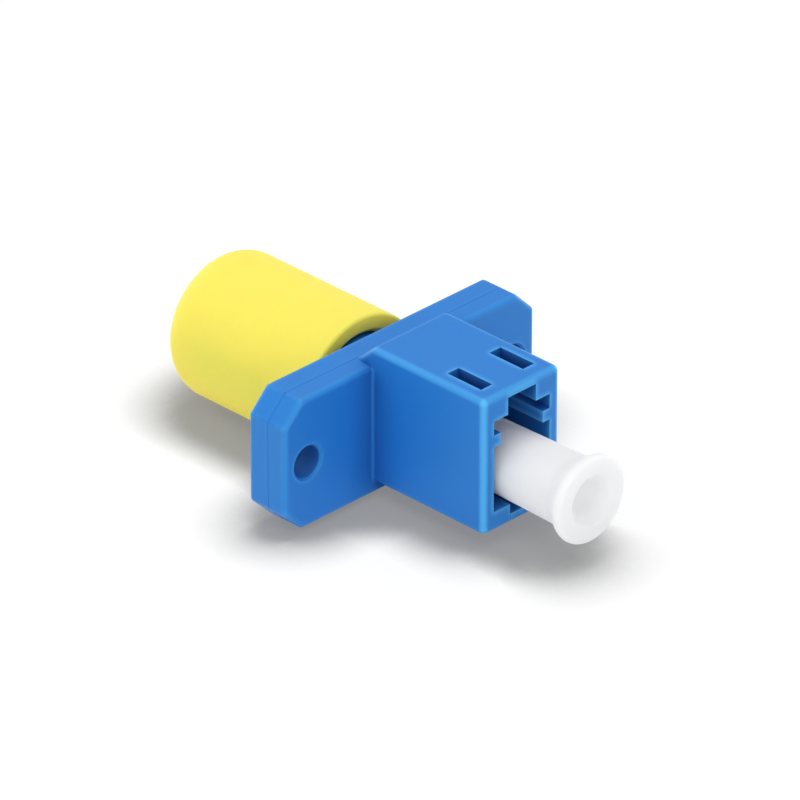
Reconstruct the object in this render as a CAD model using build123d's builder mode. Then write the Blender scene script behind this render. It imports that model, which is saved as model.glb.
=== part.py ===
from build123d import *
import os

# A hybrid fibre adapter in millimetres. The ferrule axis is Y: the LC port opens towards -Y and the ST barrel
# towards +Y. X runs along the flange and Z is up. The origin is on the ferrule axis, midway between the two
# screw holes, in the plane where the two moulded halves of the housing are welded together.

# Flange, half of it moulded on each housing
flange_width = 22.0
flange_height = 9.1
lc_flange_half = 1.5
st_flange_half = 1.7
flange_corner = 1.5
screw_inset = 2.0
screw_hole_d = 2.2
screw_hole_edge = 0.15
mould_round = 0.3
seam_edge = 0.03

# LC port, sized outwards from the square that the plug body slides in
port_width = 4.9
side_wall = 0.9
lc_reach = 9.65
floor_lift = 0.15
groove_width = 2.0
groove_depth = 0.7
floor_wall = 0.7
rail_drop = 0.1
rail_height = 0.8
rail_reach = 0.6
ear_slot_height = 1.0
latch_width = 2.45
latch_height = 1.2
latch_roof = 0.5
window_length = 2.9
window_setback = 1.25
window_edge = 0.12
body_round = 0.4
root_round = 0.2

# Sleeves and their holders
lc_ferrule_d = 1.25
lc_sleeve_wall = 0.185
lc_sleeve_length = 3.4
st_ferrule_d = 2.5
st_sleeve_wall = 0.35
st_sleeve_length = 6.5
sleeve_slit = 0.25
sleeve_float = 0.05
end_play = 0.05
lc_holder_wall = 0.54
st_holder_wall = 0.55
lip_thickness = 0.45
lip_gap = 0.075
lip_edge = 0.15
collar_thickness = 0.8
collar_shoulder = 0.3
collar_gap = 0.05
stop_wall = 0.7
holder_web = 0.4
bushing_collar = 0.5
bushing_spigot = 0.8
spigot_gap = 0.02

# ST barrel
barrel_reach = 13.0
barrel_wall = 1.0
barrel_room = 0.3
barrel_edge = 0.25
keyway_width = 1.3
keyway_length = 4.6
keyway_round = 0.3
lug_d = 1.5
lug_height = 0.85
lug_setback = 3.0
lug_edge = 0.15
root_rib_width = 1.2
root_rib_height = 0.55
root_rib_gap = 0.3

# Soft dust cap on the ST barrel
cap_wall = 1.3
cap_side_gap = 0.16
cap_rim_gap = 1.15
cap_end_gap = 0.4
cap_end_wall = 1.0
cap_end_round = 1.9
cap_inner_edge = 0.5
cap_rim_edge = 0.15
cap_lead_in = 0.3
lug_channel_gap = 0.1
lug_channel_margin = 0.6

# Dust plug in the LC port
plug_side_gap = 0.2
plug_end_gap = 0.4
plug_neck = 4.5
plug_draft = 0.0193
plug_flare_length = 1.55
plug_flare_d = 5.9
plug_rim = 0.35
plug_rim_edge = 0.15
plug_tip_edge = 0.3
plug_dish_d = 3.5
plug_dish_depth = 0.8
plug_pocket_gap = 0.3
plug_pocket_margin = 1.2

# Places along the axis, counted from the seam
lc_face = -lc_flange_half
st_face = st_flange_half
port_mouth = lc_face - lc_reach
port_stop = -collar_thickness - stop_wall
bushing_seat = holder_web - collar_thickness
sleeve_joint = bushing_seat + bushing_collar
mating_plane = sleeve_joint + bushing_spigot
lc_sleeve_start = mating_plane - lc_sleeve_length
lc_lip = lc_sleeve_start - end_play
lc_tip = lc_lip - lip_thickness
st_sleeve_end = sleeve_joint + st_sleeve_length
st_lip = st_sleeve_end + end_play
st_tip = st_lip + lip_thickness
barrel_mouth = st_face + barrel_reach
lug_place = barrel_mouth - lug_setback
cap_rim = st_face + cap_rim_gap
cap_floor = barrel_mouth + cap_end_gap
cap_end = cap_floor + cap_end_wall
plug_tip = port_stop - plug_end_gap
flare_start = port_mouth - plug_neck
flare_end = flare_start - plug_flare_length

# Heights above and below the ferrule axis, and half widths beside it
port_half = port_width / 2
lc_half_width = port_half + side_wall
port_floor = port_half - floor_lift
groove_floor = port_floor + groove_depth
lc_below = groove_floor + floor_wall
rail_bottom = port_half - rail_drop
rail_top = rail_bottom + rail_height
ear_slot_top = rail_top + ear_slot_height
latch_top = ear_slot_top + latch_height
lc_above = latch_top + latch_roof
flange_top = flange_height / 2
screw_pitch = flange_width - 2 * screw_inset
window_width = port_half - latch_width / 2 - 2 * window_edge
window_x = (port_half + latch_width / 2) / 2

# Radii round the ferrule axis
lc_sleeve_bore = lc_ferrule_d / 2
lc_sleeve_r = lc_sleeve_bore + lc_sleeve_wall
lc_holder_bore = lc_sleeve_r + sleeve_float
lc_nose_r = lc_holder_bore + lc_holder_wall
st_sleeve_bore = st_ferrule_d / 2
st_sleeve_r = st_sleeve_bore + st_sleeve_wall
st_holder_bore = st_sleeve_r + sleeve_float
st_holder_r = st_holder_bore + st_holder_wall
barrel_bore = st_holder_r + barrel_room
barrel_r = barrel_bore + barrel_wall
collar_r = barrel_bore + collar_shoulder
lug_r = barrel_r + lug_height
root_rib_r = barrel_r + root_rib_height
cap_bore = barrel_r + cap_side_gap
cap_r = cap_bore + cap_wall
lug_channel_r = lug_r + lug_channel_gap
shank_mouth_r = port_half - plug_side_gap
shank_tip_r = shank_mouth_r - plug_draft * (plug_tip - port_mouth)
shank_neck_r = shank_mouth_r + plug_draft * plug_neck
plug_flare_r = plug_flare_d / 2
plug_dish_r = plug_dish_d / 2
plug_dish_sphere = (plug_dish_r**2 + plug_dish_depth**2) / (2 * plug_dish_depth)
plug_pocket_r = lc_nose_r + plug_pocket_gap
plug_pocket_end = lc_tip - plug_pocket_margin

# How close a thing must be to count as in a place
near = 0.001


def across(y):
    """Sketch plane across the ferrule axis at y, seen from the LC side: X to the right and Z up."""
    return Plane.XZ.offset(-y)


def flange_outline():
    """The flange's outline with its four corners cut at 45 degrees and their edges slightly rounded."""
    side = flange_width / 2
    outline = Polygon(
        (side, flange_top - flange_corner),
        (side - flange_corner, flange_top),
        (flange_corner - side, flange_top),
        (-side, flange_top - flange_corner),
        (-side, flange_corner - flange_top),
        (flange_corner - side, -flange_top),
        (side - flange_corner, -flange_top),
        (side, flange_corner - flange_top),
        align=None,
    )
    fillet(outline.vertices(), radius=mould_round)


def edges_at(part, y):
    """The edges of a part that lie wholly in the plane across the axis at y."""
    return part.edges().filter_by_position(Axis.Y, y - near, y + near)


def clear_of_port(edge):
    """Whether an edge is beside the LC port's body or along the flange's lower side."""
    place = edge.center()
    return abs(place.X) > lc_half_width + near or place.Z < near - flange_top


def flange_rim(part, y):
    """The edges of the flange's outline at y, without those that the LC port's body covers."""
    return edges_at(part, y).filter_by(clear_of_port)


def port_root(part):
    """The edges where the LC port's body stands on the flange."""
    return edges_at(part, lc_face).filter_by(lambda edge: not clear_of_port(edge))


def screw_holes(face, depth):
    """The two screw holes through half the flange, each with its edge broken at the face looking outwards."""
    radius = screw_hole_d / 2
    with Locations(face):
        with GridLocations(screw_pitch, 0, 2, 1):
            CounterSinkHole(radius, radius + screw_hole_edge, depth=depth, counter_sink_angle=90)


def corner(sketch, x, y):
    """The corner of a sketch nearest to x, y."""
    return sketch.vertices().sort_by_distance((x, y, 0))[0]


# LC half of the housing: half the flange and the square port, with its top sloping down to the flange's top
with BuildPart() as lc_housing:
    with BuildSketch(Plane.YZ):
        Polygon(
            (0, -lc_below),
            (0, flange_top),
            (lc_face, lc_above),
            (port_mouth, lc_above),
            (port_mouth, -lc_below),
            align=None,
        )
    extrude(amount=lc_half_width, both=True)
    fillet(lc_housing.edges().filter_by(lambda edge: edge.center().Y < -near), radius=body_round)
    with BuildSketch(across(0)):
        flange_outline()
    extrude(amount=lc_flange_half)
    fillet(port_root(lc_housing), radius=root_round)
    fillet(flange_rim(lc_housing, lc_face), radius=mould_round)
    chamfer(flange_rim(lc_housing, 0), length=seam_edge)
    # The port: a square for the plug body, two rails over it, and the channel and ear slots of the latch
    with BuildSketch(across(port_mouth)):
        with BuildLine():
            Polyline(
                (0, latch_top),
                (latch_width / 2, latch_top),
                (latch_width / 2, ear_slot_top),
                (port_half, ear_slot_top),
                (port_half, rail_top),
                (port_half - rail_reach, rail_top),
                (port_half - rail_reach, rail_bottom),
                (port_half, rail_bottom),
                (port_half, -port_floor),
                (groove_width / 2, -port_floor),
                (groove_width / 2, -groove_floor),
                (0, -groove_floor),
            )
            mirror(about=Plane.YZ)
        make_face()
    extrude(amount=port_mouth - port_stop, mode=Mode.SUBTRACT)
    # The two windows that catch the latch's ears
    with BuildSketch(Plane.XY.offset(lc_above)):
        with Locations((0, port_mouth + window_setback + window_length / 2)):
            with GridLocations(2 * window_x, 0, 2, 1):
                Rectangle(window_width, window_length)
    extrude(amount=ear_slot_top - lc_above, mode=Mode.SUBTRACT)
    # The hole for the sleeve holder's nose and the recess for its collar
    with BuildSketch(across(0)):
        Circle(lc_nose_r + collar_gap)
    extrude(amount=-port_stop, mode=Mode.SUBTRACT)
    with BuildSketch(across(0)):
        Circle(collar_r + collar_gap)
    extrude(amount=collar_thickness, mode=Mode.SUBTRACT)
    screw_holes(across(lc_face), lc_flange_half)
lc_housing.part.label = "lc_housing"

# ST half of the housing: half the flange and the bayonet barrel
with BuildPart() as st_housing:
    with BuildSketch(across(0)):
        flange_outline()
    extrude(amount=-st_flange_half)
    fillet(flange_rim(st_housing, st_face), radius=mould_round)
    chamfer(edges_at(st_housing, 0), length=seam_edge)
    with BuildSketch(across(0)):
        Circle(barrel_r)
    extrude(amount=-barrel_mouth)
    # Two short ribs at the barrel's foot, ahead of the cap's rim
    with BuildSketch(across(0)):
        Rectangle(2 * root_rib_r, root_rib_width)
    extrude(amount=root_rib_gap - cap_rim)
    # The two bayonet lugs
    with BuildSketch(Plane.YZ):
        with Locations((lug_place, 0)):
            Circle(lug_d / 2)
    extrude(amount=lug_r, both=True)
    lug_rims = st_housing.edges().filter_by(lambda edge: abs(abs(edge.center().X) - lug_r) < near)
    chamfer(lug_rims, length=lug_edge)
    with BuildSketch(across(0)):
        Circle(barrel_bore)
    extrude(amount=-barrel_mouth, mode=Mode.SUBTRACT)
    with BuildSketch(across(0)):
        Circle(collar_r + collar_gap)
    extrude(amount=-collar_thickness, mode=Mode.SUBTRACT)
    chamfer(edges_at(st_housing, barrel_mouth), length=barrel_edge)
    # The keyway for the connector's key, open at the mouth
    with BuildSketch(Plane.XY) as keyway:
        with Locations((0, barrel_mouth)):
            Rectangle(keyway_width, 2 * keyway_length)
        fillet(keyway.vertices().group_by(Axis.Y)[0], radius=keyway_round)
    extrude(amount=barrel_r, mode=Mode.SUBTRACT)
    screw_holes(-across(st_face), st_flange_half)
st_housing.part.label = "st_housing"

# LC sleeve holder: a nose with a lip, and a collar that the two halves clamp
with BuildPart() as lc_sleeve_holder:
    with BuildSketch(Plane.XY) as profile:
        Polygon(
            (lc_sleeve_bore + lip_gap, lc_tip),
            (lc_nose_r, lc_tip),
            (lc_nose_r, -collar_thickness),
            (collar_r, -collar_thickness),
            (collar_r, 0),
            (st_holder_bore, 0),
            (st_holder_bore, bushing_seat),
            (lc_holder_bore, bushing_seat),
            (lc_holder_bore, lc_lip),
            (lc_sleeve_bore + lip_gap, lc_lip),
            align=None,
        )
        chamfer(corner(profile, lc_nose_r, lc_tip), length=lip_edge)
        chamfer(corner(profile, lc_sleeve_bore + lip_gap, lc_tip), length=lip_edge)
    revolve(axis=Axis.Y)
lc_sleeve_holder.part.label = "lc_sleeve_holder"

# ST sleeve holder: a longer tube with the same lip and collar
with BuildPart() as st_sleeve_holder:
    with BuildSketch(Plane.XY) as profile:
        Polygon(
            (st_holder_bore, 0),
            (collar_r, 0),
            (collar_r, collar_thickness),
            (st_holder_r, collar_thickness),
            (st_holder_r, st_tip),
            (st_sleeve_bore + lip_gap, st_tip),
            (st_sleeve_bore + lip_gap, st_lip),
            (st_holder_bore, st_lip),
            align=None,
        )
        chamfer(corner(profile, st_holder_r, st_tip), length=lip_edge)
        chamfer(corner(profile, st_sleeve_bore + lip_gap, st_tip), length=lip_edge)
    revolve(axis=Axis.Y)
st_sleeve_holder.part.label = "st_sleeve_holder"

# Split sleeve round the 1.25 mm ferrule, with its slit underneath
with BuildPart() as lc_split_sleeve:
    with BuildSketch(across(mating_plane)):
        Circle(lc_sleeve_r)
        Circle(lc_sleeve_bore, mode=Mode.SUBTRACT)
        with Locations((0, -lc_sleeve_r)):
            Rectangle(sleeve_slit, 2 * lc_sleeve_r, mode=Mode.SUBTRACT)
    extrude(amount=lc_sleeve_length)
lc_split_sleeve.part.label = "lc_split_sleeve"

# Split sleeve round the 2.5 mm ferrule and the bushing's spigot
with BuildPart() as st_split_sleeve:
    with BuildSketch(across(st_sleeve_end)):
        Circle(st_sleeve_r)
        Circle(st_sleeve_bore, mode=Mode.SUBTRACT)
        with Locations((0, -st_sleeve_r)):
            Rectangle(sleeve_slit, 2 * st_sleeve_r, mode=Mode.SUBTRACT)
    extrude(amount=st_sleeve_length)
st_split_sleeve.part.label = "st_split_sleeve"

# Step bushing: its spigot lines the small sleeve up inside the large one
with BuildPart() as step_bushing:
    with BuildSketch(Plane.XY):
        Polygon(
            (lc_holder_bore, bushing_seat),
            (st_sleeve_r, bushing_seat),
            (st_sleeve_r, sleeve_joint),
            (st_sleeve_bore - spigot_gap, sleeve_joint),
            (st_sleeve_bore - spigot_gap, mating_plane),
            (lc_holder_bore, mating_plane),
            align=None,
        )
    revolve(axis=Axis.Y)
step_bushing.part.label = "step_bushing"

# Dust plug: a shank with a little draft, a flared end to pull by, a dish in the end and a pocket for the nose
with BuildPart() as lc_dust_plug:
    with BuildSketch(Plane.XY) as profile:
        with BuildLine():
            Polyline(
                (0, plug_pocket_end),
                (plug_pocket_r, plug_pocket_end),
                (plug_pocket_r, plug_tip),
                (shank_tip_r, plug_tip),
                (shank_neck_r, flare_start),
                (plug_flare_r, flare_end + plug_rim),
                (plug_flare_r, flare_end),
                (plug_dish_r, flare_end),
            )
            RadiusArc((plug_dish_r, flare_end), (0, flare_end + plug_dish_depth), -plug_dish_sphere)
            Line((0, flare_end + plug_dish_depth), (0, plug_pocket_end))
        make_face()
        chamfer(corner(profile, shank_tip_r, plug_tip), length=plug_tip_edge)
        chamfer(corner(profile, plug_flare_r, flare_end), length=plug_rim_edge)
    revolve(axis=Axis.Y)
lc_dust_plug.part.label = "lc_dust_plug"

# Dust cap: a dipped cup with a thick rounded end and two channels that clear the lugs
with BuildPart() as st_dust_cap:
    with BuildSketch(Plane.XY) as profile:
        Polygon(
            (0, cap_floor),
            (cap_bore, cap_floor),
            (cap_bore, cap_rim),
            (cap_r, cap_rim),
            (cap_r, cap_end),
            (0, cap_end),
            align=None,
        )
        fillet(corner(profile, cap_r, cap_end), radius=cap_end_round)
        chamfer(corner(profile, cap_bore, cap_floor), length=cap_inner_edge)
        chamfer(corner(profile, cap_r, cap_rim), length=cap_rim_edge)
        chamfer(corner(profile, cap_bore, cap_rim), length=cap_lead_in)
    revolve(axis=Axis.Y)
    with BuildSketch(across(cap_rim)):
        Rectangle(2 * lug_channel_r, lug_d + 2 * lug_channel_gap)
        Circle(cap_bore - near, mode=Mode.SUBTRACT)
    extrude(amount=cap_rim - lug_place - lug_d / 2 - lug_channel_margin, mode=Mode.SUBTRACT)
st_dust_cap.part.label = "st_dust_cap"

os.makedirs("parts", exist_ok=True)
for piece in (
    lc_housing,
    st_housing,
    lc_sleeve_holder,
    st_sleeve_holder,
    lc_split_sleeve,
    st_split_sleeve,
    step_bushing,
    lc_dust_plug,
    st_dust_cap,
):
    export_step(piece.part, f"parts/{piece.part.label}.step")
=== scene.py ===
"""Looks of a fibre adapter with an LC port on one side and a bayonet ST barrel on the other.

The housing halves, the sleeves and their holders are the frame's own solids with better
finishes. The two soft closures, the dust plug and the dust cap, are turned again here with
smooth rounds.
"""

import itertools
import logging
import math
from dataclasses import dataclass, field
from enum import Enum
from typing import Any, Union

import bpy
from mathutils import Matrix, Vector


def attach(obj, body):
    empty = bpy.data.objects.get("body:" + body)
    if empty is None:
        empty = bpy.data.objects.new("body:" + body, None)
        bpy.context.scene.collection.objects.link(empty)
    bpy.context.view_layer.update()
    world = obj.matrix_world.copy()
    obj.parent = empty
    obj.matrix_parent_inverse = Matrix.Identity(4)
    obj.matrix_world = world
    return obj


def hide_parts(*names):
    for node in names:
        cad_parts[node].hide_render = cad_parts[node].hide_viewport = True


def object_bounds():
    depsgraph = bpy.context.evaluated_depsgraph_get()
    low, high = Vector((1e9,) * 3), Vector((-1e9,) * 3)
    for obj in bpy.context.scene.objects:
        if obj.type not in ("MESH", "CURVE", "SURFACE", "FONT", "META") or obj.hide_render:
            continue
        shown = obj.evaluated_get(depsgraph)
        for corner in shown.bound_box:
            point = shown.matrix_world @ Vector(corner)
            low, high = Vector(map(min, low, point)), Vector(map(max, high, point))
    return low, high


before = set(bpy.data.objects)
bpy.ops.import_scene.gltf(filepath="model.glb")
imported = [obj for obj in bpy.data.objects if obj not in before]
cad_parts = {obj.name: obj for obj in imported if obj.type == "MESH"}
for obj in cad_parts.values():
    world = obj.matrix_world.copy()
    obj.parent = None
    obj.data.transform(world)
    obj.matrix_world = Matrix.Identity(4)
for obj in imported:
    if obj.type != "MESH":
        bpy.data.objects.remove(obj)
cad_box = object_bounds()

MM = 0.001
CREASE = math.radians(35)
WELD = 0.0001 * MM
Colour = tuple[float, float, float]
Socket = Union["Wire", bpy.types.NodeSocket, float, int, bool, tuple]


class Slot(Enum):
    """The record's material slots."""

    HOUSING = "housing_blue"
    HOLDER = "holder_blue"
    SLEEVE = "sleeve_ceramic"
    BUSHING = "bushing_metal"
    PLUG = "plug_white"
    CAP = "cap_yellow"


class Wire:
    """An output socket that turns arithmetic into Math nodes of its own tree."""

    def __init__(self, sheet: "NodeSheet", socket: bpy.types.NodeSocket) -> None:
        """Wraps a socket.

        Args:
            sheet: The tree that the socket is in.
            socket: The output socket.
        """
        self.sheet = sheet
        self.socket = socket

    def _math(self, operation: str, first: Socket, second: Socket = 0.0) -> "Wire":
        """Adds one Math node.

        Args:
            operation: What the node works out.
            first: Its first value or link.
            second: Its second value or link.

        Returns:
            The node's result.
        """
        return self.sheet.add("ShaderNodeMath", {"operation": operation}, {0: first, 1: second})

    def __add__(self, other: Socket) -> "Wire":
        """Returns this + other."""
        return self._math("ADD", self, other)

    def __radd__(self, other: Socket) -> "Wire":
        """Returns other + this."""
        return self._math("ADD", other, self)

    def __sub__(self, other: Socket) -> "Wire":
        """Returns this - other."""
        return self._math("SUBTRACT", self, other)

    def __rsub__(self, other: Socket) -> "Wire":
        """Returns other - this."""
        return self._math("SUBTRACT", other, self)

    def __mul__(self, other: Socket) -> "Wire":
        """Returns this * other."""
        return self._math("MULTIPLY", self, other)

    def __rmul__(self, other: Socket) -> "Wire":
        """Returns other * this."""
        return self._math("MULTIPLY", other, self)

    def __truediv__(self, other: Socket) -> "Wire":
        """Returns this / other."""
        return self._math("DIVIDE", self, other)

    def __pow__(self, other: Socket) -> "Wire":
        """Returns this to the power of other."""
        return self._math("POWER", self, other)

    def __mod__(self, other: Socket) -> "Wire":
        """Returns the remainder of this over other."""
        return self._math("FLOORED_MODULO", self, other)

    def floor(self) -> "Wire":
        """Returns this rounded down."""
        return self._math("FLOOR", self)

    def sine(self) -> "Wire":
        """Returns the sine of this."""
        return self._math("SINE", self)

    def cosine(self) -> "Wire":
        """Returns the cosine of this."""
        return self._math("COSINE", self)

    def absolute(self) -> "Wire":
        """Returns this without its sign."""
        return self._math("ABSOLUTE", self)

    def clamped(self) -> "Wire":
        """Returns this kept between 0 and 1."""
        return self.sheet.add("ShaderNodeClamp", {}, {0: self})


class NodeSheet:
    """Writes the nodes of one shader or geometry tree."""

    def __init__(self, tree: bpy.types.NodeTree) -> None:
        """Starts from an empty tree.

        Args:
            tree: The tree to write.
        """
        self.tree = tree
        tree.nodes.clear()

    def make(
        self,
        kind: str,
        settings: dict[str, Any] | None = None,
        sockets: dict[str | int, Socket] | None = None,
    ) -> bpy.types.Node:
        """Adds a node.

        Args:
            kind: The node's type.
            settings: Its settings, set before its sockets.
            sockets: The values or links of its inputs, by name or by number.

        Returns:
            The node.
        """
        made = self.tree.nodes.new(kind)
        for name, value in (settings or {}).items():
            setattr(made, name, value)
        for name, value in (sockets or {}).items():
            self.connect(made.inputs[name], value)
        return made

    def add(
        self,
        kind: str,
        settings: dict[str, Any] | None = None,
        sockets: dict[str | int, Socket] | None = None,
        output: str | int = 0,
    ) -> Wire:
        """Adds a node and wraps one of its outputs.

        Args:
            kind: The node's type.
            settings: Its settings.
            sockets: The values or links of its inputs.
            output: The output that is wanted, by name or by number.

        Returns:
            The wrapped output.
        """
        return Wire(self, self.make(kind, settings, sockets).outputs[output])

    def connect(self, target: bpy.types.NodeSocket, value: Socket) -> None:
        """Links a socket, or sets its value.

        Args:
            target: The input socket.
            value: A wire or socket to link from, or a plain value. A colour may have three parts.
        """
        if isinstance(value, Wire):
            self.tree.links.new(value.socket, target)
        elif isinstance(value, bpy.types.NodeSocket):
            self.tree.links.new(value, target)
        else:
            if target.type == "RGBA" and len(value) == 3:
                value = (*value, 1.0)
            target.default_value = value


class Finish:
    """What every finish shares: a named material, and soft noise that stays on the piece."""

    name: str

    def sheet(self) -> tuple[bpy.types.Material, NodeSheet]:
        """Starts the finish's material.

        Returns:
            The material and the sheet of its empty tree.
        """
        material = bpy.data.materials.new(self.name)
        material.use_nodes = True
        return material, NodeSheet(material.node_tree)

    def noise(self, sheet: NodeSheet, size: float, turn: float, detail: float = 2.0) -> Wire:
        """Adds soft noise.

        Args:
            sheet: The tree to add it to.
            size: The size of its blots in millimetres.
            turn: Its turn about X in radians, which keeps it off the faces' lines. It turns a
                little more about Y and a little less about Z.
            detail: How many finer octaves it has.

        Returns:
            The noise, about 0.5 on average.
        """
        place = sheet.add("ShaderNodeTexCoord", output="Object")
        turned = sheet.add(
            "ShaderNodeMapping", {}, {"Vector": place, "Rotation": (turn, 1.3 * turn, 0.7 * turn)}
        )
        return sheet.add(
            "ShaderNodeTexNoise",
            {"noise_dimensions": "3D"},
            {"Vector": turned, "Scale": 1 / (size * MM), "Detail": detail, "Roughness": 0.55},
        )

    def shade(self, sheet: NodeSheet, low: Socket, high: Socket, factor: Wire) -> Wire:
        """Mixes two colours.

        Args:
            sheet: The tree to add it to.
            low: The colour at 0.
            high: The colour at 1.
            factor: Where between the two.

        Returns:
            The colour.
        """
        mixed = sheet.make("ShaderNodeMix", {"data_type": "RGBA"}, {0: factor, 6: low, 7: high})
        return Wire(sheet, mixed.outputs[2])

    def room(self, sheet: NodeSheet, reach: float, inside: bool) -> Wire:
        """Finds how open the space round a point is.

        Args:
            sheet: The tree to add it to.
            reach: How far it looks, in millimetres.
            inside: Whether it looks into the wall and not out of it.

        Returns:
            1 where nothing is near, less in a hollow or, inside, at an edge.
        """
        return sheet.add(
            "ShaderNodeAmbientOcclusion",
            {"samples": 8, "inside": inside, "only_local": True},
            {"Distance": reach * MM},
            "AO",
        )

    def close(self, sheet: NodeSheet, sockets: dict[str | int, Socket]) -> None:
        """Ends a tree in a principled shader.

        Args:
            sheet: The tree to end.
            sockets: The shader's values and links.
        """
        shader = sheet.add("ShaderNodeBsdfPrincipled", {}, sockets, "BSDF")
        sheet.make("ShaderNodeOutputMaterial", {}, {"Surface": shader})


def tinted(colour: Colour, share: float) -> Colour:
    """Lightens or darkens a colour.

    Args:
        colour: The colour to start from.
        share: What each part of it is multiplied by.

    Returns:
        The new colour, none of its parts over 1.
    """
    return tuple(min(1.0, part * share) for part in colour)


@dataclass(frozen=True)
class MouldedPlastic(Finish):
    """Semi-matt moulded plastic with a fine eroded grain, rougher in its hollows. Its edges get a
    painted highlight, most of all the rounded ones of the port, but not at the welded seam, which
    lies at y = 0. Its hollows get painted shade."""

    name: str
    colour: Colour
    # The colour of the painted highlight on the edges.
    edge_highlight_colour: Colour
    # The colour of the painted shade in hollows.
    hollow_shade_colour: Colour
    # Reach and strength of the painted highlight on the edges that inside occlusion finds, and how
    # far it keeps off the seam.
    edge_reach: float = 0.4
    edge_highlight_share: float = 1.15
    seam_reach: float = 0.75
    port_side: float = 3.35
    port_front: float = 11.15
    port_top: float = 5.85
    # Reach and strength of the painted highlight along the port's rounded edges; the last weighs
    # its top edges.
    round_reach: float = 0.45
    round_highlight_share: float = 1.15
    top_highlight_share: float = 0.5
    hollow_reach: float = 2.5
    gloss: float = 0.48
    grain: float = 0.07
    grain_depth: float = 0.0008
    grain_gloss: float = 0.08
    speck: float = 0.21
    speck_share: float = 0.25
    cloud: float = 3.5
    cloud_gloss: float = 0.1
    hollow_gloss: float = 0.5
    contrast: float = 1.6
    spread: float = 0.04
    relief: float = 0.6
    speck_height: float = 0.6
    bending: float = 1.6
    sheen: Colour = (0.35, 1.0, 0.95)

    def nearness(self, place: Wire, side: float) -> Wire:
        """Finds how near a point is to one side of the port's body.

        Args:
            place: The point's place across that side, in metres.
            side: The side's place, in millimetres.

        Returns:
            1 on the side, 0 where it is a rounded edge's width or more away.
        """
        return ((place / MM - (side - self.round_reach)) / self.round_reach).clamped()

    def material(self) -> bpy.types.Material:
        """Returns the finish as a material."""
        material, sheet = self.sheet()
        clouds = self.noise(sheet, self.cloud, turn=0.4, detail=3.0)
        grain = self.noise(sheet, self.grain, turn=0.9, detail=3.0)
        speck = self.noise(sheet, self.speck, turn=1.7, detail=1.0)
        blend = (1 - self.speck_share) * clouds + self.speck_share * speck
        tone = ((blend - 0.5) * self.contrast + 0.5).clamped()
        dark, light = tinted(self.colour, 1 - self.spread), tinted(self.colour, 1 + self.spread)
        colour = self.shade(sheet, dark, light, tone)
        # Painted highlight: inside occlusion finds the edges whose colour is made paler.
        depth = self.room(sheet, self.edge_reach, inside=True)
        openness = self.room(sheet, self.hollow_reach, inside=False)
        point = sheet.add("ShaderNodeTexCoord", output="Object")
        place = sheet.make("ShaderNodeSeparateXYZ", {}, {0: point})
        across, along, up = (Wire(sheet, place.outputs[axis]) for axis in ("X", "Y", "Z"))
        from_seam = ((along / (self.seam_reach * MM)) ** 2).clamped()
        side = self.nearness(across.absolute(), self.port_side)
        front = self.nearness(0 - along, self.port_front)
        top = self.nearness(up, self.port_top)
        # Painted highlight along the port's rounded side, front and top edges.
        rounds = (side * front + self.top_highlight_share * top * (front + side)) * self.round_highlight_share
        edge = ((1 - depth) * self.edge_highlight_share * from_seam + rounds) * openness * openness
        # The colour is lightened towards the painted highlight on the edges.
        edge_highlighted = self.shade(sheet, colour, self.edge_highlight_colour, edge.clamped())
        # Painted shade: the colour darkens where outside occlusion finds a hollow or a corner.
        hollow_shaded = self.shade(sheet, self.hollow_shade_colour, edge_highlighted, openness)
        uneven = self.cloud_gloss * (clouds - 0.5) + self.grain_gloss * (grain - 0.5)
        rough = self.gloss + uneven + self.hollow_gloss * (1 - openness)
        bump = sheet.add(
            "ShaderNodeBump",
            {},
            {
                "Strength": self.relief,
                "Distance": self.grain_depth * MM,
                "Height": grain + self.speck_height * speck,
            },
        )
        self.close(
            sheet,
            {
                "Base Color": hollow_shaded,
                "Roughness": rough.clamped(),
                "IOR": self.bending,
                "Specular Tint": self.sheen,
                "Normal": bump,
            },
        )
        return material


@dataclass(frozen=True)
class SoftPlastic(Finish):
    """Soft closure plastic that lets a little light in, with a faint ripple and a low sheen."""

    name: str
    colour: Colour
    gloss: float
    glow: float
    glow_radius: Colour
    ripple: float = 1.6
    ripple_depth: float = 0.012
    ripple_gloss: float = 0.12
    dust: float = 0.12
    dust_depth: float = 0.0015
    dust_gloss: float = 0.06
    spread: float = 0.02
    relief: float = 0.5
    bending: float = 1.45

    def material(self) -> bpy.types.Material:
        """Returns the finish as a material."""
        material, sheet = self.sheet()
        ripple = self.noise(sheet, self.ripple, turn=0.5)
        dust = self.noise(sheet, self.dust, turn=1.1)
        dark, light = tinted(self.colour, 1 - self.spread), tinted(self.colour, 1 + self.spread)
        colour = self.shade(sheet, dark, light, ripple)
        rough = self.gloss + self.ripple_gloss * (ripple - 0.5) + self.dust_gloss * (dust - 0.5)
        height = ripple * self.ripple_depth + dust * self.dust_depth
        bump = sheet.add(
            "ShaderNodeBump", {}, {"Strength": self.relief, "Distance": MM, "Height": height}
        )
        self.close(
            sheet,
            {
                "Base Color": colour,
                "Roughness": rough,
                "IOR": self.bending,
                "Subsurface Weight": self.glow,
                "Subsurface Radius": self.glow_radius,
                "Subsurface Scale": MM,
                "Normal": bump,
            },
        )
        return material


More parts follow.
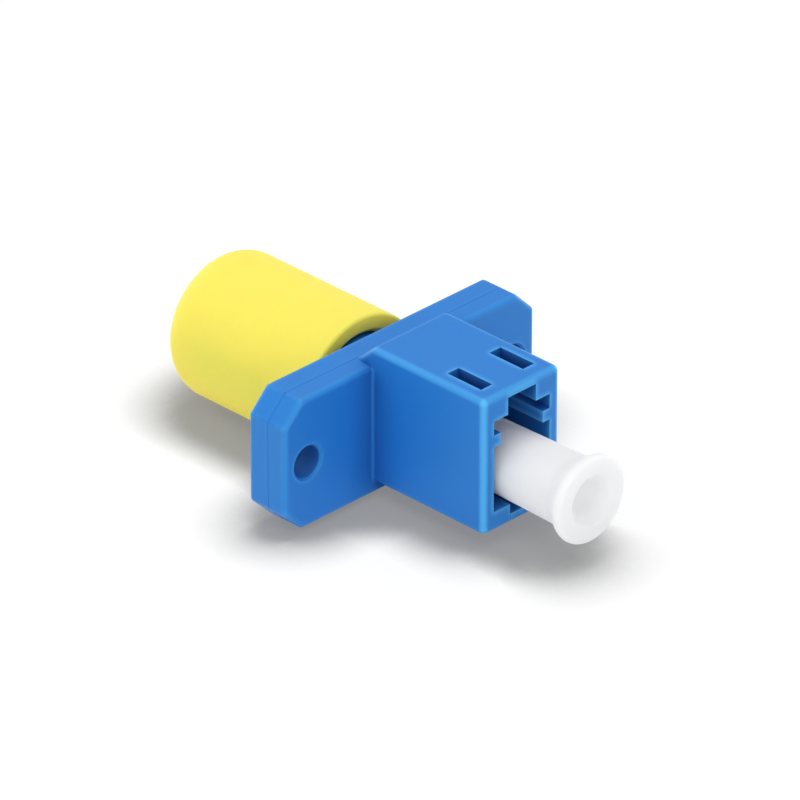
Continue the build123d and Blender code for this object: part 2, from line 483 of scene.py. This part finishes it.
@dataclass(frozen=True)
class GroundCeramic(Finish):
    """Ground zirconia with the faint rings that centreless grinding leaves."""

    name: str
    colour: Colour
    gloss: float = 0.22
    mottle: float = 0.8
    darkest: float = 0.97
    lightest: float = 1.02
    uneven: float = 0.06
    ring_scale: float = 6000.0
    ring_depth: float = 0.0006
    relief: float = 0.3
    bending: float = 2.1

    def material(self) -> bpy.types.Material:
        """Returns the finish as a material."""
        material, sheet = self.sheet()
        place = sheet.add("ShaderNodeTexCoord", output="Object")
        rings = sheet.add(
            "ShaderNodeTexWave",
            {"bands_direction": "Y"},
            {"Vector": place, "Scale": self.ring_scale, "Distortion": 2.0, "Detail": 2.0},
            "Fac",
        )
        tone = self.noise(sheet, self.mottle, turn=0.3)
        dark, light = tinted(self.colour, self.darkest), tinted(self.colour, self.lightest)
        colour = self.shade(sheet, dark, light, tone)
        bump = sheet.add(
            "ShaderNodeBump",
            {},
            {"Strength": self.relief, "Distance": self.ring_depth * MM, "Height": rings},
        )
        self.close(
            sheet,
            {
                "Base Color": colour,
                "Roughness": self.gloss + self.uneven * (tone - 0.5),
                "IOR": self.bending,
                "Normal": bump,
            },
        )
        return material


@dataclass(frozen=True)
class PlatedMetal(Finish):
    """Nickel plate over turned metal, with the tool's fine rings."""

    name: str
    colour: Colour
    gloss: float = 0.25
    mottle: float = 0.5
    darkest: float = 0.93
    lightest: float = 1.05
    uneven: float = 0.1
    ring_scale: float = 9000.0
    ring_depth: float = 0.001
    relief: float = 0.4

    def material(self) -> bpy.types.Material:
        """Returns the finish as a material."""
        material, sheet = self.sheet()
        place = sheet.add("ShaderNodeTexCoord", output="Object")
        rings = sheet.add(
            "ShaderNodeTexWave",
            {"bands_direction": "Y"},
            {"Vector": place, "Scale": self.ring_scale, "Distortion": 1.0, "Detail": 1.0},
            "Fac",
        )
        tone = self.noise(sheet, self.mottle, turn=0.3)
        dark, light = tinted(self.colour, self.darkest), tinted(self.colour, self.lightest)
        colour = self.shade(sheet, dark, light, tone)
        bump = sheet.add(
            "ShaderNodeBump",
            {},
            {"Strength": self.relief, "Distance": self.ring_depth * MM, "Height": rings},
        )
        self.close(
            sheet,
            {
                "Base Color": colour,
                "Metallic": 1.0,
                "Roughness": self.gloss + self.uneven * (tone - 0.5),
                "Normal": bump,
            },
        )
        return material


@dataclass(frozen=True)
class Corner:
    """A corner of a half outline in millimetres, and how far it is rounded."""

    radius: float
    along: float
    round: float = 0.0

    @property
    def point(self) -> Vector:
        """The corner as a vector."""
        return Vector((self.radius, self.along))


@dataclass
class Profile:
    """The half outline of a turned piece, from the axis round to the axis again."""

    corners: list[Corner]
    steps: int = 10

    def rounded(self, before: Corner, corner: Corner, after: Corner) -> list[Vector]:
        """Rounds one corner.

        Args:
            before: The corner before it.
            corner: The corner to round.
            after: The corner after it.

        Returns:
            The points of its arc, or the bare corner.
        """
        if not corner.round:
            return [corner.point]
        back = (before.point - corner.point).normalized()
        on = (after.point - corner.point).normalized()
        half = back.angle(on) / 2
        centre = corner.point + (back + on).normalized() * corner.round / math.sin(half)
        run = corner.round / math.tan(half)
        first = corner.point + back * run - centre
        last = corner.point + on * run - centre
        sweep = first.angle(last)
        arc = []
        for share in (step / self.steps for step in range(self.steps + 1)):
            spoke = first * math.sin(sweep * (1 - share)) + last * math.sin(sweep * share)
            arc.append(centre + spoke / math.sin(sweep))
        return arc

    def points(self) -> list[Vector]:
        """Returns every point of the outline, with the corners rounded."""
        made = [self.corners[0].point]
        for before, corner, after in zip(self.corners, self.corners[1:], self.corners[2:]):
            made += self.rounded(before, corner, after)
        return made + [self.corners[-1].point]


class Lathe:
    """Turns profiles about the Y axis with a Geometry Nodes tree."""

    def __init__(self) -> None:
        """Builds the tree with its named inputs."""
        self.tree = bpy.data.node_groups.new("turned_piece", "GeometryNodeTree")
        sheet = NodeSheet(self.tree)
        face = self.tree.interface
        face.new_socket("Profile", in_out="INPUT", socket_type="NodeSocketGeometry")
        self.segments = face.new_socket("Segments", in_out="INPUT", socket_type="NodeSocketInt")
        self.finish = face.new_socket("Finish", in_out="INPUT", socket_type="NodeSocketMaterial")
        face.new_socket("Piece", in_out="OUTPUT", socket_type="NodeSocketGeometry")
        given = sheet.make("NodeGroupInput")
        profile = given.outputs["Profile"]
        turns = Wire(sheet, given.outputs["Segments"])
        count = sheet.add(
            "GeometryNodeAttributeDomainSize",
            {"component": "MESH"},
            {"Geometry": profile},
            "Point Count",
        )
        grid = sheet.add(
            "GeometryNodeMeshGrid", {}, {"Vertices X": turns + 1, "Vertices Y": count}, "Mesh"
        )
        index = sheet.add("GeometryNodeInputIndex")
        column = (index / count).floor()
        place = sheet.add("GeometryNodeInputPosition")
        point = sheet.add(
            "GeometryNodeSampleIndex",
            {"data_type": "FLOAT_VECTOR", "domain": "POINT"},
            {"Geometry": profile, "Value": place, "Index": index % count},
        )
        parts = sheet.make("ShaderNodeSeparateXYZ", {}, {0: point})
        radius = Wire(sheet, parts.outputs["X"])
        angle = column / turns * math.tau
        turned = sheet.add(
            "ShaderNodeCombineXYZ",
            {},
            {"X": radius * angle.cosine(), "Y": parts.outputs["Y"], "Z": radius * angle.sine()},
        )
        moved = sheet.add(
            "GeometryNodeSetPosition", {}, {"Geometry": grid, "Position": turned}
        )
        merged = sheet.add(
            "GeometryNodeMergeByDistance", {}, {"Geometry": moved, "Distance": WELD}
        )
        solid = sheet.add("GeometryNodeRealizeInstances", {}, {"Geometry": merged})
        dressed = sheet.add(
            "GeometryNodeSetMaterial", {}, {"Geometry": solid, "Material": given.outputs["Finish"]}
        )
        sheet.make("NodeGroupOutput", {}, {"Piece": dressed})

    def turn(
        self, name: str, profile: Profile, finish: bpy.types.Material, segments: int = 128
    ) -> bpy.types.Object:
        """Turns one piece.

        Args:
            name: The piece's name.
            profile: Its half outline.
            finish: Its material.
            segments: How many runs it has round the axis.

        Returns:
            The piece, a plain mesh with smooth rounds and crisp edges.
        """
        outline = bpy.data.meshes.new(name + "_profile")
        points = [(point.x * MM, point.y * MM, 0.0) for point in profile.points()]
        runs = [(place, place + 1) for place in range(len(points) - 1)]
        outline.from_pydata(points, runs, [])
        source = bpy.data.objects.new(name + "_source", outline)
        bpy.context.scene.collection.objects.link(source)
        live = source.modifiers.new("turned", "NODES")
        live.node_group = self.tree
        live[self.segments.identifier] = segments
        live[self.finish.identifier] = finish
        shape = source.evaluated_get(bpy.context.evaluated_depsgraph_get())
        mesh = bpy.data.meshes.new_from_object(shape)
        source.modifiers.remove(live)
        bpy.data.objects.remove(source)
        mesh.name = name
        mesh.shade_smooth()
        mesh.set_sharp_from_angle(angle=CREASE)
        piece = bpy.data.objects.new(name, mesh)
        bpy.context.scene.collection.objects.link(piece)
        return piece


@dataclass
class Housing:
    """The two moulded halves and the holders and sleeves in them, all the frame's own solids."""

    # Each plastic's second colour is its edges' painted highlight, and its third is its hollows'
    # painted shade.
    halves: MouldedPlastic = MouldedPlastic(
        "adapter_blue", (0.012, 0.16, 0.565), (0.09, 0.44, 0.87), (0.002, 0.023, 0.22)
    )
    holders: MouldedPlastic = MouldedPlastic(
        "holder_plastic", (0.006, 0.13, 0.47), (0.02, 0.22, 0.6), (0.001, 0.02, 0.14)
    )
    sleeves: GroundCeramic = GroundCeramic("zirconia", (0.9, 0.885, 0.85))
    bushing: PlatedMetal = PlatedMetal("nickel_plate", (0.72, 0.71, 0.69))

    def dress(self) -> None:
        """Gives every solid of the adapter its finish."""
        finishes = {
            ("lc_housing", "st_housing"): self.halves.material(),
            ("lc_sleeve_holder", "st_sleeve_holder"): self.holders.material(),
            ("lc_split_sleeve", "st_split_sleeve"): self.sleeves.material(),
            ("step_bushing",): self.bushing.material(),
        }
        for names, material in finishes.items():
            for name in names:
                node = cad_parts[name]
                for place in node.material_slots:
                    place.material = material
                logging.info("%s: finished as %s", name, material.name)


@dataclass
class DustPlug:
    """The white plug in the LC port, in millimetres along the ferrule axis."""

    pocket_radius: float = 1.7
    pocket_end: float = -4.2
    tip: float = -1.9
    tip_radius: float = 2.07
    tip_round: float = 0.3
    neck: float = -15.65
    neck_radius: float = 2.337
    neck_round: float = 1.8
    end: float = -17.2
    end_radius: float = 2.95
    rim: float = 0.5
    back_round: float = 0.8
    rim_round: float = 0.28
    dish_radius: float = 1.75
    dish_lip_round: float = 0.25
    dish_floor: float = 1.0
    dish_depth: float = 0.8
    dish_round: float = 0.7
    finish: SoftPlastic = SoftPlastic(
        "plug_polythene", (0.775, 0.775, 0.775), gloss=0.6, glow=1.0, glow_radius=(4.0, 4.0, 4.0)
    )

    def profile(self) -> Profile:
        """Returns the plug's half outline, from its pocket's middle to its dish's middle."""
        return Profile(
            [
                Corner(0.0, self.pocket_end),
                Corner(self.pocket_radius, self.pocket_end, self.tip_round),
                Corner(self.pocket_radius, self.tip),
                Corner(self.tip_radius, self.tip, self.tip_round),
                Corner(self.neck_radius, self.neck, self.neck_round),
                Corner(self.end_radius, self.end + self.rim, self.back_round),
                Corner(self.end_radius, self.end, self.rim_round),
                Corner(self.dish_radius, self.end, self.dish_lip_round),
                Corner(self.dish_floor, self.end + self.dish_depth, self.dish_round),
                Corner(0.0, self.end + self.dish_depth),
            ]
        )

    def build(self, lathe: Lathe) -> bpy.types.Object:
        """Turns the plug and hands it to its body.

        Args:
            lathe: What turns the profile.

        Returns:
            The plug.
        """
        plug = lathe.turn("dust_plug_turned", self.profile(), self.finish.material())
        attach(plug, "dust_plug")
        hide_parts("lc_dust_plug")
        logging.info("dust plug: %d faces", len(plug.data.polygons))
        return plug


@dataclass
class DustCap:
    """The yellow cap on the ST barrel, in millimetres along the ferrule axis."""

    bore: float = 3.66
    outside: float = 4.96
    rim: float = 2.85
    floor: float = 15.1
    end: float = 16.1
    end_round: float = 1.9
    floor_round: float = 0.9
    rim_round: float = 0.2
    lead_in: float = 0.3
    channel_radius: float = 4.45
    channel_width: float = 1.7
    channel_end: float = 13.05
    channel_overrun: float = 1.0
    finish: SoftPlastic = SoftPlastic(
        "cap_vinyl", (0.87, 0.75, 0.1), gloss=0.7, glow=0.6, glow_radius=(1.5, 1.1, 0.3)
    )

    def profile(self) -> Profile:
        """Returns the cap's half outline, from its floor's middle to its end's middle."""
        return Profile(
            [
                Corner(0.0, self.floor),
                Corner(self.bore, self.floor, self.floor_round),
                Corner(self.bore, self.rim + self.lead_in),
                Corner(self.bore + self.lead_in, self.rim),
                Corner(self.outside, self.rim, self.rim_round),
                Corner(self.outside, self.end, self.end_round),
                Corner(0.0, self.end),
            ]
        )

    def cutter(self, finish: bpy.types.Material) -> bpy.types.Object:
        """Makes the bar that cuts the two channels for the barrel's lugs.

        Args:
            finish: The material that the walls of the channels get.

        Returns:
            The bar.
        """
        across = self.channel_radius * MM
        tall = self.channel_width / 2 * MM
        start, stop = (self.rim - self.channel_overrun) * MM, self.channel_end * MM
        ends = ((-across, across), (start, stop), (-tall, tall))
        corners = list(itertools.product(*ends))
        sides = [(0, 1, 3, 2), (4, 6, 7, 5), (0, 4, 5, 1)]
        sides += [(2, 3, 7, 6), (0, 2, 6, 4), (1, 5, 7, 3)]
        mesh = bpy.data.meshes.new("channel_bar")
        mesh.from_pydata(corners, [], sides)
        mesh.materials.append(finish)
        bar = bpy.data.objects.new("channel_bar", mesh)
        bpy.context.scene.collection.objects.link(bar)
        return bar

    def build(self, lathe: Lathe) -> bpy.types.Object:
        """Turns the cap, cuts its channels and hands it to its body.

        Args:
            lathe: What turns the profile.

        Returns:
            The cap.
        """
        vinyl = self.finish.material()
        blank = lathe.turn("cap_blank", self.profile(), vinyl)
        bar = self.cutter(vinyl)
        cut = blank.modifiers.new("channels", "BOOLEAN")
        cut.operation, cut.solver, cut.object = "DIFFERENCE", "EXACT", bar
        shape = blank.evaluated_get(bpy.context.evaluated_depsgraph_get())
        mesh = bpy.data.meshes.new_from_object(shape)
        blank.modifiers.remove(cut)
        bpy.data.objects.remove(blank)
        bpy.data.objects.remove(bar)
        mesh.set_sharp_from_angle(angle=CREASE)
        cap = bpy.data.objects.new("dust_cap_dipped", mesh)
        bpy.context.scene.collection.objects.link(cap)
        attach(cap, "dust_cap")
        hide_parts("st_dust_cap")
        logging.info("dust cap: %d faces", len(mesh.polygons))
        return cap


def around(azimuth: float, elevation: float) -> Vector:
    """Finds a direction from the object.

    Args:
        azimuth: 0 is on the LC port's side, 90 on the +X side, in degrees.
        elevation: Above the horizon, in degrees.

    Returns:
        The direction, one long.
    """
    turn, rise = math.radians(azimuth), math.radians(elevation)
    return Vector(
        (math.sin(turn) * math.cos(rise), -math.cos(turn) * math.cos(rise), math.sin(rise))
    )


@dataclass(frozen=True)
class Softbox:
    """A square lamp aimed at the object."""

    name: str
    azimuth: float
    elevation: float
    size: float
    level: float
    distance: float = 0.6

    def place(self, target: Vector) -> None:
        """Hangs the lamp.

        Args:
            target: The point it is aimed at. A white card there, facing it, renders at its level.
        """
        lamp = bpy.data.lights.new(self.name, "AREA")
        lamp.shape = "SQUARE"
        lamp.size = self.size
        lamp.energy = self.level * (math.pi * self.distance) ** 2
        away = around(self.azimuth, self.elevation)
        held = bpy.data.objects.new(self.name, lamp)
        held.location = target + away * self.distance
        held.rotation_mode = "QUATERNION"
        held.rotation_quaternion = away.to_track_quat("Z", "Y")
        bpy.context.scene.collection.objects.link(held)


@dataclass
class Studio:
    """The pale floor with a painted shadow, the soft light and the camera."""

    floor_size: float = 4.0
    floor_gap: float = 0.005
    floor_tone: float = 0.8
    floor_seen: float = 1.03
    # Depth, slope, reach and share of the painted shadow on the floor.
    painted_shadow_depth: float = 0.77
    painted_shadow_slope: float = 3.0
    painted_shadow_reach: float = 0.0048
    painted_shadow_share: float = 0.85
    sky: float = 0.35
    sky_seen: float = 0.75
    camera_azimuth: float = -45.1
    camera_elevation: float = 29.6
    camera_distance: float = 0.61
    camera_near: float = 0.01
    camera_far: float = 20.0
    lens: float = 440.0
    lamps: list[Softbox] = field(
        default_factory=lambda: [
            Softbox("top_softbox", 135, 74, 0.25, 0.29),
            Softbox("key_softbox", -48, 58, 0.3, 0.26),
            Softbox("left_softbox", -95, 15, 0.4, 0.3),
            Softbox("front_softbox", -5, 15, 0.4, 0.3),
            Softbox("right_softbox", 85, 12, 0.4, 0.35),
            Softbox("far_softbox", 182, 20, 0.4, 0.37),
        ]
    )

    def seeing_rays(self, sheet: NodeSheet) -> tuple[Wire, Wire]:
        """Tells the rays that see the studio from those that only light the object.

        Args:
            sheet: The tree to add the node to.

        Returns:
            1 for the camera's rays, and 1 for those in reflections and in clear plastic.
        """
        rays = sheet.make("ShaderNodeLightPath")
        kinds = ("Is Camera Ray", "Is Glossy Ray", "Is Transmission Ray")
        camera, glossy, clear = (Wire(sheet, rays.outputs[kind]) for kind in kinds)
        return camera, glossy + clear

    def seen_white(self, plain: float, seen: float, rays: Wire) -> Wire:
        """Chooses between two levels.

        Args:
            plain: The level that lights the object.
            seen: The level that is seen.
            rays: 1 for the rays that see it.

        Returns:
            The level.
        """
        return plain + (seen - plain) * rays.clamped()

    def lay_floor(self, height: float) -> None:
        """Lays the floor. For the camera's rays it mostly glows white, with a painted shadow that
        darkens it where the object is near; the rest is the floor's real shading.

        Args:
            height: How high the floor is, in metres.
        """
        half = self.floor_size / 2
        corners = ((-half, -half), (half, -half), (half, half), (-half, half))
        mesh = bpy.data.meshes.new("floor")
        mesh.from_pydata([(x, y, height) for x, y in corners], [], [(0, 1, 2, 3)])
        material = bpy.data.materials.new("floor_paper")
        material.use_nodes = True
        sheet = NodeSheet(material.node_tree)
        camera, mirrored = self.seeing_rays(sheet)
        level = self.seen_white(self.floor_tone, self.floor_seen, camera + mirrored)
        grey = sheet.add("ShaderNodeCombineColor", {}, {0: level, 1: level, 2: level})
        paper = sheet.add("ShaderNodeBsdfDiffuse", {}, {"Color": grey})
        # Painted shadow: the floor's glow for the camera darkens where occlusion finds the object
        # near.
        open_sky = sheet.add(
            "ShaderNodeAmbientOcclusion", {"samples": 16}, {"Distance": self.painted_shadow_reach}, "AO"
        )
        painted_shadow_mask = (self.painted_shadow_slope * (1 - open_sky)).clamped()
        painted_shadow_level = (self.floor_seen - self.painted_shadow_depth * painted_shadow_mask).clamped()
        # The glow that carries the painted shadow; only the camera's rays see it.
        glow = sheet.add("ShaderNodeEmission", {}, {"Strength": painted_shadow_level})
        share = camera * self.painted_shadow_share
        surface = sheet.add("ShaderNodeMixShader", {}, {0: share, 1: paper, 2: glow})
        sheet.make("ShaderNodeOutputMaterial", {}, {"Surface": surface})
        mesh.materials.append(material)
        floor = bpy.data.objects.new("floor", mesh)
        bpy.context.scene.collection.objects.link(floor)

    def light_sky(self) -> None:
        """Makes the even light all round."""
        world = bpy.data.worlds.new("white_room")
        world.use_nodes = True
        sheet = NodeSheet(world.node_tree)
        camera, mirrored = self.seeing_rays(sheet)
        level = self.seen_white(self.sky, self.sky_seen, mirrored) + camera * (1 - self.sky)
        white = (1.0, 1.0, 1.0)
        sky = sheet.add("ShaderNodeBackground", {}, {"Color": white, "Strength": level})
        sheet.make("ShaderNodeOutputWorld", {}, {"Surface": sky})
        bpy.context.scene.world = world

    def aim_camera(self, target: Vector) -> None:
        """Puts the camera at the photograph's viewing angle.

        Args:
            target: The middle of the view.
        """
        lens = bpy.data.cameras.new("camera")
        lens.lens = self.lens
        lens.clip_start, lens.clip_end = self.camera_near, self.camera_far
        away = around(self.camera_azimuth, self.camera_elevation)
        held = bpy.data.objects.new("camera", lens)
        held.location = target + away * self.camera_distance
        held.rotation_mode = "QUATERNION"
        held.rotation_quaternion = away.to_track_quat("Z", "Y")
        bpy.context.scene.collection.objects.link(held)
        bpy.context.scene.camera = held

    def build(self) -> None:
        """Builds the studio round the object."""
        low, high = cad_box
        middle = (low + high) / 2
        self.lay_floor(low.z - self.floor_gap * MM)
        self.light_sky()
        for lamp in self.lamps:
            lamp.place(middle)
        self.aim_camera(middle)
        bpy.context.scene.view_settings.view_transform = "Standard"
        logging.info("studio: %d lamps, lens %.0f mm", len(self.lamps), self.lens)


def main() -> None:
    """Builds and dresses every piece in order, then the studio."""
    lathe = Lathe()
    Housing().dress()
    DustPlug().build(lathe)
    DustCap().build(lathe)
    Studio().build()


if __name__ == "__main__":
    logging.basicConfig(level=logging.INFO, format="%(message)s")
    main()
